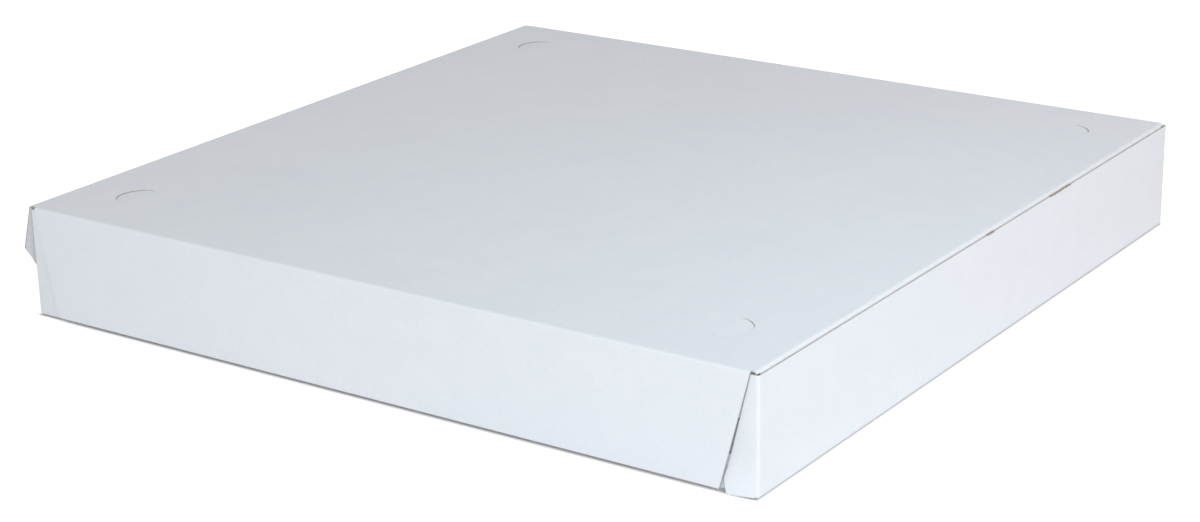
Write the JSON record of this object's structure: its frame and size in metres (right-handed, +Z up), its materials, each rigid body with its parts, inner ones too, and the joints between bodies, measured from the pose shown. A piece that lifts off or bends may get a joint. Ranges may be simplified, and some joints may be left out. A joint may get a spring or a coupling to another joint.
{
  "type": "pizza box",
  "caption": "Square shallow white paperboard pizza box with a lock-corner tray, a lid hinged on the back wall, a front flap, dust flaps and half-moon vents.",
  "frame": {"origin": "middle of the tray's underside", "axes": "+X to the box's right, +Y to the back, where the lid is hinged, +Z up"},
  "size_m": [0.3649, 0.3599, 0.0483],
  "materials": {
    "coated_board": "clay-coated white paperboard, matt with a slight sheen"
  },
  "bodies": {
    "tray": {"tray": "coated_board"},
    "lid": {"lid": "coated_board"},
    "front_flap": {"front_flap": "coated_board"},
    "left_dust_flap": {"left_dust_flap": "coated_board"}
  },
  "joints": [
    {"name": "lid_hinge", "type": "hinge", "parent": "tray", "child": "lid", "pos_m": [0, 0.1776, 0.0483], "axis": [-1, 0, 0], "range_deg": [0, 180]},
    {"name": "front_flap_hinge", "type": "hinge", "parent": "lid", "child": "front_flap", "pos_m": [0, -0.1794, 0.0483], "axis": [-1, 0, 0], "range_deg": [0, 87.5]},
    {"name": "left_dust_flap_hinge", "type": "hinge", "parent": "lid", "child": "left_dust_flap", "pos_m": [-0.1794, 0, 0.0483], "axis": [0, 1, 0], "range_deg": [0, 78]}
  ]
}
